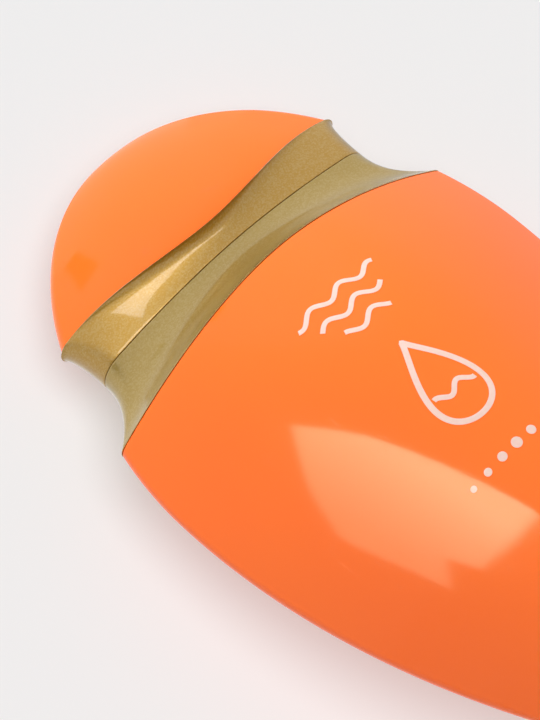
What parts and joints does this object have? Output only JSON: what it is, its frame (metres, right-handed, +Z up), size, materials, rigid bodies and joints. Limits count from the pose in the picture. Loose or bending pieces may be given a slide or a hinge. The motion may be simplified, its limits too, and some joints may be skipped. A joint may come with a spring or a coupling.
{
  "type": "flip-top squeeze bottle",
  "caption": "Oval squeeze bottle for sunscreen with lens-shaped sections, a narrow foot, a waisted closure and a domed flip-top lid on a back hinge with a dispensing spout.",
  "frame": {"origin": "middle of the foot, on the surface that the bottle stands on", "axes": "+Z up along the bottle's axis; -Y is the front, with the thumb lip; +Y is the hinge side; +X to the right seen from the front"},
  "size_m": [0.0646, 0.042, 0.115],
  "materials": {
    "orange_plastic": "glossy blow-moulded orange plastic",
    "gold_plastic": "pearlescent olive-gold plastic with a fine metallic grain",
    "white_plastic": "natural white plastic",
    "white_foam": "closed-cell foam"
  },
  "bodies": {
    "bottle": {"bottle_body": "orange_plastic", "neck_gasket": "white_foam", "closure_base": "gold_plastic", "spout": "white_plastic", "hinge_film": "gold_plastic", "hinge_straps": "gold_plastic"},
    "lid": {"lid_frame": "gold_plastic", "seal_plug": "white_plastic", "lid_dome": "orange_plastic"}
  },
  "joints": [
    {"name": "lid_flip", "type": "hinge", "parent": "bottle", "child": "lid", "pos_m": [0, 0.0134, 0.0877], "axis": [-1, 0, 0], "range_deg": [0, 135], "deforming": ["hinge_film", "hinge_straps"]}
  ]
}
